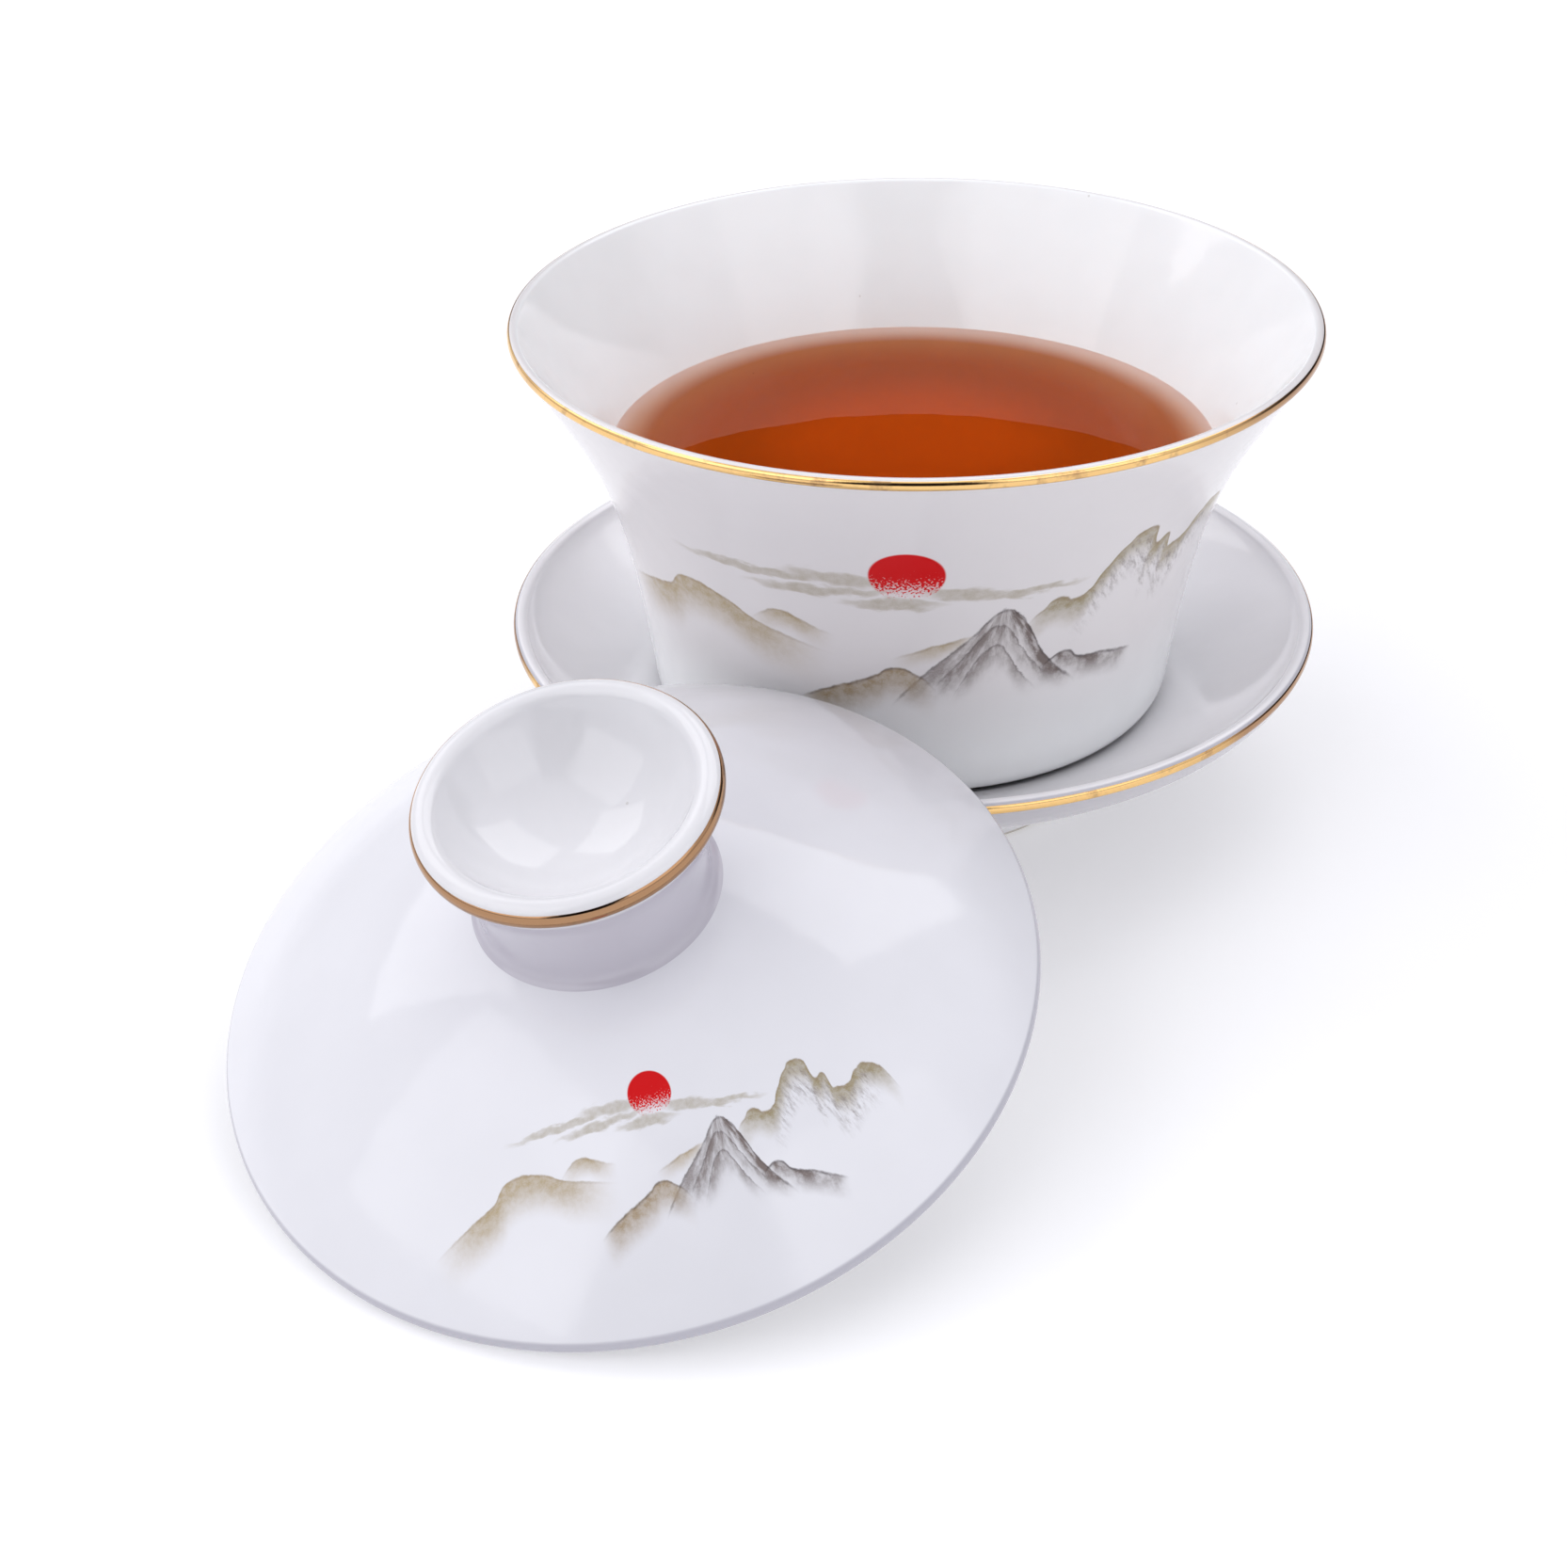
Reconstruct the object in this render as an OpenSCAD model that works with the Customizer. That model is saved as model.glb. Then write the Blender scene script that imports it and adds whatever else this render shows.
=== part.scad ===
// Gaiwan: a lidded tea bowl on its saucer, with the lid taken off and leaning against the saucer.
// Millimetres, +Z up. The origin is the centre of the saucer's foot on the table; the bowl's axis is Z.

/* [Bowl] */
// Diameter over the bowl's rim
bowl_rim_d = 100; // [94:1:106]
// Height of the middle of the bowl's rounded lip above the table
bowl_lip_z = 63; // [60:0.2:67]
// Thickness of the bowl's wall at the foot of its side
bowl_wall = 2.2; // [1.8:0.1:2.6]
// Thickness of the bowl's rounded lip, to which the wall thins
bowl_lip_w = 1.5; // [1.3:0.1:2]
// Diameter at the foot of the side, where the bowl is narrowest before it turns under
belly_d = 67.4; // [64:0.2:70]
// Height of that narrowest place above the table
belly_z = 15.8; // [15:0.1:17]
// Lean of the side away from upright at the belly
belly_lean = 7; // [3:0.5:12]
// Lean of the side away from upright at the rim
flare_lean = 33.5; // [26:0.5:40]
// Radius of the corner where the side turns under
belly_corner = 2.8; // [2:0.1:4]
// Slope of the underside between the corner and the foot ring
underside_slope = 18.7; // [14:0.1:22]
// Diameter over the bowl's foot ring
bowl_foot_d = 46.4; // [44:0.2:47]
// Width of the bowl's foot ring
bowl_foot_w = 3; // [2.4:0.1:4]
// Height of the tea's surface above the table
tea_z = 46; // [30:0.2:50]

/* [Saucer] */
// Diameter over the saucer's rim
saucer_rim_d = 104; // [102:0.5:110]
// Height of the middle of the saucer's rounded lip above the table
saucer_lip_z = 22.9; // [22:0.1:24]
// Thickness of the saucer's wall at its lip
saucer_wall = 1.9; // [1.6:0.1:2.6]
// Thickness of the saucer next to its well
saucer_base_wall = 4.6; // [3.6:0.1:4.8]
// Diameter over the saucer's foot ring
saucer_foot_d = 50; // [46:0.5:52]
// Width of the saucer's foot ring
saucer_foot_w = 3.4; // [2.6:0.1:4.4]
// Height of the saucer's foot ring where the side leaves it
saucer_foot_h = 4.6; // [4.2:0.1:5]
// Slope of the saucer's side above its foot
saucer_slope = 27.6; // [25:0.1:29]
// Height of the floor of the well that the bowl stands in
well_z = 6.3; // [6:0.1:6.6]
// Diameter of the floor of the well
well_d = 48.4; // [47.8:0.1:49]

/* [Lid] */
// Diameter over the lid's edge
lid_d = 90.2; // [88:0.2:92]
// Thickness of the lid, which the edge rounds off
lid_wall = 2.4; // [2:0.1:2.8]
// Height of the dome's outside above the middle of its edge
lid_dome_h = 17.7; // [16:0.1:19]
// Diameter over the rim of the knob
knob_rim_d = 32.4; // [30:0.2:34]
// Thickness of the knob's rounded lip
knob_lip = 3; // [2.4:0.1:3.4]
// Height of the middle of the knob's lip above the middle of the lid's edge
knob_lip_h = 30.6; // [28:0.2:32]
// Diameter of the knob where it meets the dome
knob_base_d = 24.6; // [22:0.2:26]
// Depth of the hollow in the knob below the middle of its lip
knob_hollow = 7; // [5:0.2:9]

/* [Leaning lid] */
// Lean of the lid's axis away from upright
lid_lean = 17.8; // [17.8:0.1:19]
// Direction that the lid's axis leans towards, anticlockwise from +X
lid_lean_azimuth = -115.1; // [-118:0.1:-112]
// Distance of the lid's centre from the bowl's axis
lid_distance = 80.2; // [80:0.1:82]
// Direction of the lid's centre from the bowl's axis, anticlockwise from +X
lid_azimuth = -112.3; // [-115:0.1:-110]

/* [Gilding] */
// Thickness of the gold bands
gilt_t = 0.12; // [0.1:0.02:0.2]
// Where the bowl's band starts on the lip, above level
bowl_gilt_top = 50; // [20:1:60]
// Where the bowl's band ends on the lip, below level
bowl_gilt_bottom = 40; // [20:1:45]
// Where the saucer's band starts on the lip, above level
saucer_gilt_top = 38; // [0:1:50]
// Where the knob's band starts on the lip, above level
knob_gilt_top = 38; // [0:1:50]
// Where the saucer's and the knob's bands end on the lip, below level
gilt_bottom = 32; // [15:1:36]

/* [Quality] */
// Facets round a full turn
$fn = 180; // [60:12:240]
// Straight pieces in each curve of an outline
curve_steps = 24; // [12:2:40]

/* [Hidden] */
seat_gap = 0.05;   // between the bowl's foot and the saucer's well
tea_gap = 0.04;    // between the tea and the wall that holds it
porcelain = "ghostwhite";
gold = "goldenrod";

// Outline points are [radius, height].
function cubic(p, t) =
    pow(1 - t, 3) * p[0] + 3 * t * pow(1 - t, 2) * p[1] + 3 * t * t * (1 - t) * p[2] + pow(t, 3) * p[3];
function cubic_run(p, t) =
    pow(1 - t, 2) * (p[1] - p[0]) + 2 * t * (1 - t) * (p[2] - p[1]) + t * t * (p[3] - p[2]);
function left_of(v) = [-v[1], v[0]] / norm(v);
function up_lean(a) = [sin(a), cos(a)];
function out_slope(a) = [cos(a), sin(a)];
function steps(n) = [for (i = [0:n]) i / n];
function arc(c, r, a0, a1, n = 10) = [for (t = steps(n)) c + r * out_slope(a0 + (a1 - a0) * t)];

// The bowl's side: one curve from the belly up to the underside of the lip
bowl_lip = [bowl_rim_d / 2 - bowl_lip_w / 2, bowl_lip_z];
belly = [belly_d / 2, belly_z];
lip_under = bowl_lip + bowl_lip_w / 2 * out_slope(-flare_lean);
side_rise = bowl_lip_z - belly_z;
side = [belly, belly + 0.59 * side_rise * up_lean(belly_lean),
        lip_under - 0.35 * side_rise * up_lean(flare_lean), lip_under];
function side_point(t, w) = cubic(side, t) + w * left_of(cubic_run(side, t));
function side_inner(t, gap = 0) = side_point(t, bowl_wall + (bowl_lip_w - bowl_wall) * t + gap);

// Below the belly the side turns under through a tight corner
corner_c = belly - belly_corner * out_slope(-belly_lean);
corner = arc(corner_c, belly_corner, underside_slope - 90, -belly_lean, 6);
foot_top = corner[0] - (corner[0][0] - bowl_foot_d / 2) / cos(underside_slope) * out_slope(underside_slope);
bowl_foot_z = well_z + seat_gap;

// Inside, a wider corner leads down to a gently dished floor
inner_corner = 3.4;
inner_belly = side_point(0, bowl_wall);
inner_corner_c = inner_belly - inner_corner * out_slope(-belly_lean);
floor_slope = 6;
floor_edge = inner_corner_c + inner_corner * out_slope(floor_slope - 90);
floor_mid = floor_edge - floor_edge[0] / cos(floor_slope) * out_slope(floor_slope) + [0, 0.5];
function inner_floor() = [for (t = steps(8))
    cubic([floor_mid, [floor_edge[0] * 0.4, floor_mid[1]],
           floor_edge - floor_edge[0] * 0.4 * out_slope(floor_slope), floor_edge], t)];

module bowl_outline() {
    recess_z = floor_mid[1] - 3.2;
    polygon(concat(
        [[0, recess_z], [bowl_foot_d / 2 - bowl_foot_w - 1.2, recess_z],
         [bowl_foot_d / 2 - bowl_foot_w - 0.2, recess_z - 0.8]],
        arc([bowl_foot_d / 2 - bowl_foot_w + 0.5, bowl_foot_z + 0.5], 0.5, 180, 270, 4),
        arc([bowl_foot_d / 2 - 0.9, bowl_foot_z + 0.5], 0.5, 270, 360, 4),
        [foot_top],
        corner,
        [for (t = steps(curve_steps)) side_point(t, 0)],
        arc(bowl_lip, bowl_lip_w / 2, -flare_lean, 180 - flare_lean, 16),
        [for (t = steps(curve_steps)) side_inner(1 - t)],
        arc(inner_corner_c, inner_corner, -belly_lean, floor_slope - 90, 8),
        [for (i = [7:-1:0]) inner_floor()[i]]));
}

// The saucer's side: a shallow cone that turns up sharply just below the lip
saucer_lip = [saucer_rim_d / 2 - saucer_wall / 2, saucer_lip_z];
rim_lean = 22;
saucer_foot = [saucer_foot_d / 2, saucer_foot_h];
saucer_lip_under = saucer_lip + saucer_wall / 2 * out_slope(-rim_lean);
saucer_side = [saucer_foot, saucer_foot + 24.5 * out_slope(saucer_slope),
               saucer_lip_under - 4.2 * up_lean(rim_lean), saucer_lip_under];
function saucer_point(t, w) = cubic(saucer_side, t) + w * left_of(cubic_run(saucer_side, t));
function saucer_inner(t) = saucer_point(t, saucer_base_wall + (saucer_wall - saucer_base_wall) * t);

module saucer_outline() {
    foot_in = saucer_foot_d / 2 - saucer_foot_w;
    well_corner = 1;
    well_edge = [well_d / 2, well_z];
    shoulder = 0.042;   // where along the side its inside stops at the well
    polygon(concat(
        [[0, well_z - 3], [foot_in - 1.6, well_z - 3], [foot_in - 0.4, well_z - 3.8]],
        arc([foot_in + 0.5, 0.5], 0.5, 180, 270, 4),
        arc([saucer_foot_d / 2 - 1.1, 0.5], 0.5, 270, 360, 4),
        [for (t = steps(curve_steps)) saucer_point(t, 0)],
        arc(saucer_lip, saucer_wall / 2, -rim_lean, 180 - rim_lean, 16),
        [for (t = steps(curve_steps)) saucer_inner(1 - t * (1 - shoulder))],
        arc(well_edge + [0, well_corner], well_corner, 0, -90, 5),
        [[0, well_z]]));
}

// The lid: a shell between two spheres about one centre, rounded off at its edge
lid_lip_r = lid_d / 2 - lid_wall / 2;
dome_mid_h = lid_dome_h - lid_wall / 2;
dome_r = (lid_lip_r * lid_lip_r + dome_mid_h * dome_mid_h) / (2 * dome_mid_h);
dome_c = [0, dome_mid_h - dome_r];
dome_edge_a = atan2(-dome_c[1], lid_lip_r);

module lid_outline() {
    polygon(concat(
        arc(dome_c, dome_r + lid_wall / 2, 90, dome_edge_a, 2 * curve_steps),
        arc([lid_lip_r, 0], lid_wall / 2, dome_edge_a, dome_edge_a - 180, 16),
        arc(dome_c, dome_r - lid_wall / 2, dome_edge_a, 90, 2 * curve_steps)));
}

// The knob: a hollow flared cup that stands on the dome
knob_lip_c = [knob_rim_d / 2 - knob_lip / 2, knob_lip_h];
knob_lean = 30;
function dome_top(r) = dome_c[1] + sqrt(pow(dome_r + lid_wall / 2, 2) - r * r);
knob_foot = [knob_base_d / 2, dome_top(knob_base_d / 2)];
knob_lip_under = knob_lip_c + knob_lip / 2 * out_slope(-knob_lean);
knob_rise = knob_lip_h - knob_foot[1];
knob_side = [knob_foot, knob_foot + 0.5 * knob_rise * up_lean(4),
             knob_lip_under - 0.3 * knob_rise * up_lean(knob_lean), knob_lip_under];
knob_inner_lip = knob_lip_c + knob_lip / 2 * out_slope(180 - knob_lean);
knob_floor = [0, knob_lip_h - knob_hollow];
knob_well = [knob_inner_lip, knob_inner_lip - 0.55 * knob_hollow * up_lean(knob_lean),
             [knob_inner_lip[0] * 0.55, knob_floor[1]], knob_floor];

module knob_outline() {
    polygon(concat(
        [for (t = steps(8)) let (r = knob_foot[0] * t) [r, dome_top(r)]],
        [for (t = steps(curve_steps)) if (t > 0) cubic(knob_side, t)],
        arc(knob_lip_c, knob_lip / 2, -knob_lean, 180 - knob_lean, 16),
        [for (t = steps(curve_steps)) if (t > 0) cubic(knob_well, t)]));
}

// A thin gold skin over the outer part of a rounded lip. Its inside touches the lip from outside,
// and below the lip it follows the side's slope.
module gilt_outline(c, r, lean, top, bottom) {
    pieces = 12;
    turn = (top + bottom) / pieces;
    polygon(concat(arc(c, r + gilt_t, -bottom, top, pieces),
        [for (i = [0:pieces]) let (a = top - turn * i)
            c + r / cos(max(0, -lean - a)) / cos(turn / 2) * out_slope(a)]));
}

// The lid stands on the table by the low side of its edge and leans towards the bowl
lid_z = lid_lip_r * sin(lid_lean) + lid_wall / 2;
module leaning() {
    translate([lid_distance * cos(lid_azimuth), lid_distance * sin(lid_azimuth), lid_z])
        rotate([0, 0, lid_lean_azimuth]) rotate([0, lid_lean, 0]) children();
}

module saucer() { color(porcelain) rotate_extrude() saucer_outline(); }

module saucer_gilt_band() {
    color(gold) rotate_extrude()
        gilt_outline(saucer_lip, saucer_wall / 2, rim_lean, saucer_gilt_top, gilt_bottom);
}

module bowl() { color(porcelain) rotate_extrude() bowl_outline(); }

module bowl_gilt_band() {
    color(gold) rotate_extrude()
        gilt_outline(bowl_lip, bowl_lip_w / 2, flare_lean, bowl_gilt_top, bowl_gilt_bottom);
}

// The tea fills the bowl up to a level surface
module tea() {
    color("chocolate") rotate_extrude() intersection() {
        polygon(concat(
            [for (p = inner_floor()) p + [0, tea_gap]],
            arc(inner_corner_c, inner_corner - tea_gap, floor_slope - 90, -belly_lean, 8),
            [for (t = steps(curve_steps)) side_inner(t, tea_gap)],
            [[0, bowl_lip_z]]));
        square([bowl_rim_d / 2, tea_z]);
    }
}

module lid() { color(porcelain) leaning() rotate_extrude() lid_outline(); }

module lid_knob() { color(porcelain) leaning() rotate_extrude() knob_outline(); }

module knob_gilt_band() {
    color(gold) leaning() rotate_extrude()
        gilt_outline(knob_lip_c, knob_lip / 2, knob_lean, knob_gilt_top, gilt_bottom);
}

saucer();
saucer_gilt_band();
bowl();
bowl_gilt_band();
tea();
lid();
lid_knob();
knob_gilt_band();
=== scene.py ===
"""A gaiwan on a white table: a tea bowl on its saucer, full of tea, and beside them its lid, which
leans towards the saucer and just clears it.

Every visible piece is turned about its axis from the same outline as its CAD node, with finer
steps and the small soft shapes that glaze leaves. Outlines are in millimetres, as [radius, height]
points; the meshes are in metres, in the row's frame.
"""

from math import atan2, cos, hypot, pi, radians, sin, sqrt

import bmesh
import bpy
from mathutils import Matrix, Vector

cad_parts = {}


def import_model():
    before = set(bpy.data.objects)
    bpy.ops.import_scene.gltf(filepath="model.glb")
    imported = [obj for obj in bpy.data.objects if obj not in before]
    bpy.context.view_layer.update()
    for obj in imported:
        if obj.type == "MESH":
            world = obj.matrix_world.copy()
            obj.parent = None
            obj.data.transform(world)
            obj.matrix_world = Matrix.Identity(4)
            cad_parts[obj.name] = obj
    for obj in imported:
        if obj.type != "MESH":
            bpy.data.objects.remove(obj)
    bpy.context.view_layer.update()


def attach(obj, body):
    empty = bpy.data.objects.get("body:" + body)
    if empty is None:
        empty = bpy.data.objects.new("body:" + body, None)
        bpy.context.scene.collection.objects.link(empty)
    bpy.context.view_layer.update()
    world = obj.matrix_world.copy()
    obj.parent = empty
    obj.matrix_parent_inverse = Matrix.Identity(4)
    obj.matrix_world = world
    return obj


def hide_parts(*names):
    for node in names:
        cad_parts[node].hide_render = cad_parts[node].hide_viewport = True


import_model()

MM = 0.001
TURN_STEPS = 288        # faces round a full turn
CURVE_STEPS = 40        # faces along each curve of an outline
SHARP_EDGE = radians(38)
FOOT_ROUND = 0.5        # rounding of a foot ring's edges
RECESS_ROUND = 1.2      # rounding where a foot ring meets the recess inside it

# Bowl
BOWL_RIM_D, BOWL_LIP_Z, BOWL_WALL, BOWL_LIP_W = 100, 63, 2.2, 1.5
BELLY_D, BELLY_Z, BELLY_LEAN, BELLY_CORNER = 67.4, 15.8, 7, 2.8
FLARE_LEAN = 33.5
UNDERSIDE_SLOPE = 18.7
BOWL_FOOT_D, BOWL_FOOT_W, BOWL_FOOT_Z = 46.4, 3, 6.35
BOWL_FLOOR_W = 3.2
INNER_CORNER, FLOOR_SLOPE = 3.4, 6
TEA_Z, TEA_R = 46, 36.9

# Saucer
SAUCER_RIM_D, SAUCER_LIP_Z, SAUCER_WALL, SAUCER_BASE_WALL = 104, 22.9, 1.9, 4.6
SAUCER_FOOT_D, SAUCER_FOOT_W, SAUCER_FOOT_H = 50, 3.4, 4.6
SAUCER_SLOPE, RIM_LEAN = 27.6, 22
WELL_Z, WELL_D, WELL_CORNER = 6.3, 48.4, 1
WELL_FLOOR_W = 3
SAUCER_SHOULDER = 0.042     # where along the side the inner wall leaves the well

# Lid and its knob
LID_D, LID_WALL, LID_DOME_H = 90.2, 2.4, 17.7
KNOB_RIM_D, KNOB_LIP, KNOB_LIP_H, KNOB_BASE_D = 32.4, 3, 30.6, 24.6
KNOB_HOLLOW, KNOB_LEAN, KNOB_FILLET = 7, 30, 1.3
LID_LEAN, LID_LEAN_AZIMUTH = 17.8, -115.1
LID_DISTANCE, LID_AZIMUTH = 80.2, -112.3

# Gold bands on the lips: thickness, and the lowest and highest angle each one reaches
GILT_T = 0.09
BOWL_GILT, SAUCER_GILT, KNOB_GILT = (-40, 49), (-31, 36), (-31, 36)


# ---------------------------------------------------------------- outlines

def along(p, v, length):
    return (p[0] + v[0] * length, p[1] + v[1] * length)


def out_slope(a):
    return (cos(radians(a)), sin(radians(a)))


def up_lean(a):
    return (sin(radians(a)), cos(radians(a)))


def cubic(p, t):
    w = ((1 - t) ** 3, 3 * t * (1 - t) ** 2, 3 * t * t * (1 - t), t ** 3)
    return tuple(sum(w[i] * p[i][k] for i in range(4)) for k in (0, 1))


def beside(p, t, w):
    """The point w to the left of a cubic curve."""
    a, b, c = (1 - t) ** 2, 2 * t * (1 - t), t * t
    run = [a * (p[1][k] - p[0][k]) + b * (p[2][k] - p[1][k]) + c * (p[3][k] - p[2][k])
           for k in (0, 1)]
    n = hypot(*run)
    q = cubic(p, t)
    return (q[0] - run[1] / n * w, q[1] + run[0] / n * w)


def shares(n=CURVE_STEPS):
    return [i / n for i in range(n + 1)]


def arc(c, r, a0, a1, n=10):
    return [along(c, out_slope(a0 + (a1 - a0) * t), r) for t in shares(n)]


def foot_ring(r_in, r_out, z, recess_z, taper_in, taper_out):
    """A foot ring, from the middle of the recess inside it round to the outer edge of its face."""
    return ([(0, recess_z)]
            + arc((r_in - taper_in - RECESS_ROUND, recess_z - RECESS_ROUND), RECESS_ROUND, 90, 0, 8)
            + arc((r_in + FOOT_ROUND, z + FOOT_ROUND), FOOT_ROUND, 180, 270, 6)
            + arc((r_out - taper_out - FOOT_ROUND, z + FOOT_ROUND), FOOT_ROUND, 270, 360, 6))


def bowl_curves():
    lip = (BOWL_RIM_D / 2 - BOWL_LIP_W / 2, BOWL_LIP_Z)
    belly = (BELLY_D / 2, BELLY_Z)
    under = along(lip, out_slope(-FLARE_LEAN), BOWL_LIP_W / 2)
    rise = BOWL_LIP_Z - BELLY_Z
    side = (belly, along(belly, up_lean(BELLY_LEAN), 0.59 * rise),
            along(under, up_lean(FLARE_LEAN), -0.35 * rise), under)
    corner_c = along(belly, out_slope(-BELLY_LEAN), -BELLY_CORNER)
    inner_c = along(beside(side, 0, BOWL_WALL), out_slope(-BELLY_LEAN), -INNER_CORNER)
    edge = along(inner_c, out_slope(FLOOR_SLOPE - 90), INNER_CORNER)
    mid = (0, edge[1] - edge[0] * sin(radians(FLOOR_SLOPE)) / cos(radians(FLOOR_SLOPE)) ** 2 + 0.5)
    return lip, side, corner_c, inner_c, edge, mid


def inner_side(side, t, reach=0):
    """The bowl's inner wall: it thins from its foot to the lip. reach goes that far into it."""
    return beside(side, t, BOWL_WALL + (BOWL_LIP_W - BOWL_WALL) * t - reach)


def inner_floor(edge, mid, n=16):
    flat = edge[0] * 0.4
    curve = (mid, (flat, mid[1]), along(edge, out_slope(FLOOR_SLOPE), -flat), edge)
    return [cubic(curve, t) for t in shares(n)]


def bowl_outline():
    lip, side, corner_c, inner_c, edge, mid = bowl_curves()
    corner = arc(corner_c, BELLY_CORNER, UNDERSIDE_SLOPE - 90, -BELLY_LEAN, 12)
    foot_r, foot_in = BOWL_FOOT_D / 2, BOWL_FOOT_D / 2 - BOWL_FOOT_W
    drop = (corner[0][0] - foot_r) / cos(radians(UNDERSIDE_SLOPE))
    foot_top = along(corner[0], out_slope(UNDERSIDE_SLOPE), -drop)
    ring = foot_ring(foot_in, foot_r, BOWL_FOOT_Z, mid[1] - BOWL_FLOOR_W, 0.2, 0.4)
    fillet_c = (foot_top[0] + 0.1, foot_top[1] - 0.9)
    return (ring + arc(fillet_c, FOOT_ROUND, 180, 90 + UNDERSIDE_SLOPE, 6)
            + corner + [beside(side, t, 0) for t in shares()]
            + arc(lip, BOWL_LIP_W / 2, -FLARE_LEAN, 180 - FLARE_LEAN, 24)
            + [inner_side(side, 1 - t) for t in shares()]
            + arc(inner_c, INNER_CORNER, -BELLY_LEAN, FLOOR_SLOPE - 90, 14)
            + inner_floor(edge, mid)[::-1])


def tea_outline():
    """The tea reaches a little into the bowl's wall, so that no air shows between them, and climbs
    the wall at its edge."""
    reach, climb, climb_w = 0.25, 0.15, 0.9
    _, side, _, inner_c, edge, mid = bowl_curves()
    wall = [inner_side(side, t, reach) for t in shares(90)]
    wall = [p for p in wall if p[1] < TEA_Z + climb]
    top_r = wall[-1][0]
    surface = [(top_r - climb_w * t, TEA_Z + climb * (1 - t) ** 3) for t in shares(12)]
    return ([(x, z - reach) for x, z in inner_floor(edge, mid)]
            + arc(inner_c, INNER_CORNER + reach, FLOOR_SLOPE - 90, -BELLY_LEAN, 14)
            + wall + surface
            + [(top_r * (1 - t), TEA_Z) for t in (0.2, 0.4, 0.6, 0.8)] + [(0, TEA_Z)])


def saucer_curves():
    lip = (SAUCER_RIM_D / 2 - SAUCER_WALL / 2, SAUCER_LIP_Z)
    foot = (SAUCER_FOOT_D / 2, SAUCER_FOOT_H)
    under = along(lip, out_slope(-RIM_LEAN), SAUCER_WALL / 2)
    side = (foot, along(foot, out_slope(SAUCER_SLOPE), 24.5),
            along(under, up_lean(RIM_LEAN), -4.2), under)
    return lip, side


def saucer_outline():
    lip, side = saucer_curves()
    foot_r, foot_in = SAUCER_FOOT_D / 2, SAUCER_FOOT_D / 2 - SAUCER_FOOT_W
    inside = [beside(side, t, SAUCER_BASE_WALL + (SAUCER_WALL - SAUCER_BASE_WALL) * t)
              for t in (1 - s * (1 - SAUCER_SHOULDER) for s in shares())]
    return (foot_ring(foot_in, foot_r, 0, WELL_Z - WELL_FLOOR_W, 0.4, 0.6)
            + [beside(side, t, 0) for t in shares()]
            + arc(lip, SAUCER_WALL / 2, -RIM_LEAN, 180 - RIM_LEAN, 24) + inside
            + arc((WELL_D / 2, WELL_Z + WELL_CORNER), WELL_CORNER, 0, -90, 8) + [(0, WELL_Z)])


LID_LIP_R = LID_D / 2 - LID_WALL / 2
DOME_MID_H = LID_DOME_H - LID_WALL / 2
DOME_R = (LID_LIP_R ** 2 + DOME_MID_H ** 2) / (2 * DOME_MID_H)
DOME_C = (0, DOME_MID_H - DOME_R)


def dome_top(r):
    return DOME_C[1] + sqrt((DOME_R + LID_WALL / 2) ** 2 - r * r)


def lid_outline():
    edge_a = atan2(-DOME_C[1], LID_LIP_R) * 180 / pi
    return (arc(DOME_C, DOME_R + LID_WALL / 2, 90, edge_a, 2 * CURVE_STEPS)
            + arc((LID_LIP_R, 0), LID_WALL / 2, edge_a, edge_a - 180, 24)
            + arc(DOME_C, DOME_R - LID_WALL / 2, edge_a, 90, 2 * CURVE_STEPS))


def knob_lip():
    return (KNOB_RIM_D / 2 - KNOB_LIP / 2, KNOB_LIP_H)


def knob_outline():
    lip = knob_lip()
    foot = (KNOB_BASE_D / 2, dome_top(KNOB_BASE_D / 2))
    under = along(lip, out_slope(-KNOB_LEAN), KNOB_LIP / 2)
    rise = KNOB_LIP_H - foot[1]
    side = (foot, along(foot, up_lean(4), 0.5 * rise),
            along(under, up_lean(KNOB_LEAN), -0.3 * rise), under)
    inner = along(lip, out_slope(180 - KNOB_LEAN), KNOB_LIP / 2)
    floor = (0, KNOB_LIP_H - KNOB_HOLLOW)
    well = (inner, along(inner, up_lean(KNOB_LEAN), -0.55 * KNOB_HOLLOW),
            (inner[0] * 0.55, floor[1]), floor)
    skirt_r = foot[0] + KNOB_FILLET
    skirt = (skirt_r, dome_top(skirt_r) - 0.02)
    fillet_end = 0.16       # where along the side the fillet ends
    fillet = (skirt, (foot[0] + 0.35, foot[1] + 0.02), (foot[0] - 0.02, foot[1] + 0.5),
              cubic(side, fillet_end))
    return ([(r, dome_top(r) - 0.3) for r in (0, 4, 8, skirt_r - 1)]
            + [cubic(fillet, t) for t in shares(10)]
            + [cubic(side, fillet_end + (1 - fillet_end) * t) for t in shares(30)[1:]]
            + arc(lip, KNOB_LIP / 2, -KNOB_LEAN, 180 - KNOB_LEAN, 24)
            + [cubic(well, t) for t in shares()[1:]])


# ---------------------------------------------------------------- meshes

def add_mesh(name, bm, matrix=Matrix.Identity(4)):
    bmesh.ops.recalc_face_normals(bm, faces=bm.faces)
    bm.transform(matrix)
    mesh = bpy.data.meshes.new(name)
    bm.to_mesh(mesh)
    bm.free()
    mesh.shade_smooth()
    mesh.set_sharp_from_angle(angle=SHARP_EDGE)
    obj = bpy.data.objects.new(name, mesh)
    bpy.context.scene.collection.objects.link(obj)
    return obj


def without_repeats(points):
    kept = []
    for p in points:
        if not kept or hypot(p[0] - kept[-1][0], p[1] - kept[-1][1]) > 1e-4:
            kept.append(p)
    return kept


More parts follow.
